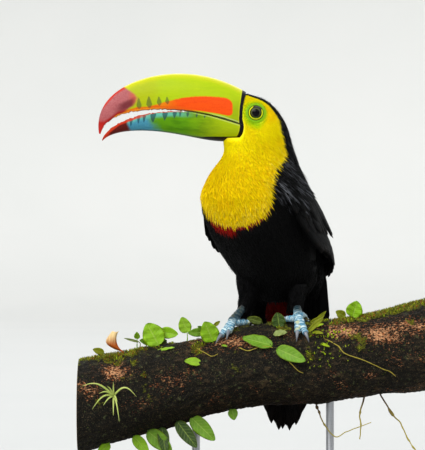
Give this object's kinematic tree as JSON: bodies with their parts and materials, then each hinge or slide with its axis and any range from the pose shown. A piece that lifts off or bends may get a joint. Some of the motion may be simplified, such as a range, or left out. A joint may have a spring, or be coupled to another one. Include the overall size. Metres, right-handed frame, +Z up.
{
  "type": "keel-billed toucan model on a branch and stand",
  "caption": "Still, life-size model of a toucan gripping a short cut branch, held by steel rods on a flat wooden base.",
  "frame": {"origin": "middle of the base's underside, on the floor", "axes": "+Z up; +X along the branch toward its higher end; the bill points to -X and the chest turns toward -Y"},
  "size_m": [0.36, 0.18, 0.4184],
  "materials": {
    "plumage": "dense soft feathers: yellow face and bib with a red edge, black body, wings and tail, white rump, red undertail",
    "bill": "satin horn: lime with an orange blaze, blue lower tip, maroon ends",
    "eyes": "dark, wet and glossy",
    "legs": "scaled blue-grey skin",
    "claws": "grey horn",
    "branch": "dark mossy bark with sawn ends",
    "stand_base": "oiled dark wood",
    "stand_rods": "brushed steel"
  },
  "bodies": {
    "root": {"head": "plumage", "neck": "plumage", "trunk": "plumage", "left_wing": "plumage", "right_wing": "plumage", "tail": "plumage", "undertail_coverts": "plumage", "rump_coverts": "plumage", "left_thigh": "plumage", "right_thigh": "plumage", "upper_bill": "bill", "lower_bill": "bill", "left_eye": "eyes", "right_eye": "eyes", "left_leg": "legs", "right_leg": "legs", "left_claw_1": "claws", "left_claw_2": "claws", "left_claw_3": "claws", "left_claw_4": "claws", "right_claw_1": "claws", "right_claw_2": "claws", "right_claw_3": "claws", "right_claw_4": "claws", "branch": "branch", "stand_base": "stand_base", "stand_rod_1": "stand_rods", "stand_rod_2": "stand_rods"}
  },
  "joints": []
}
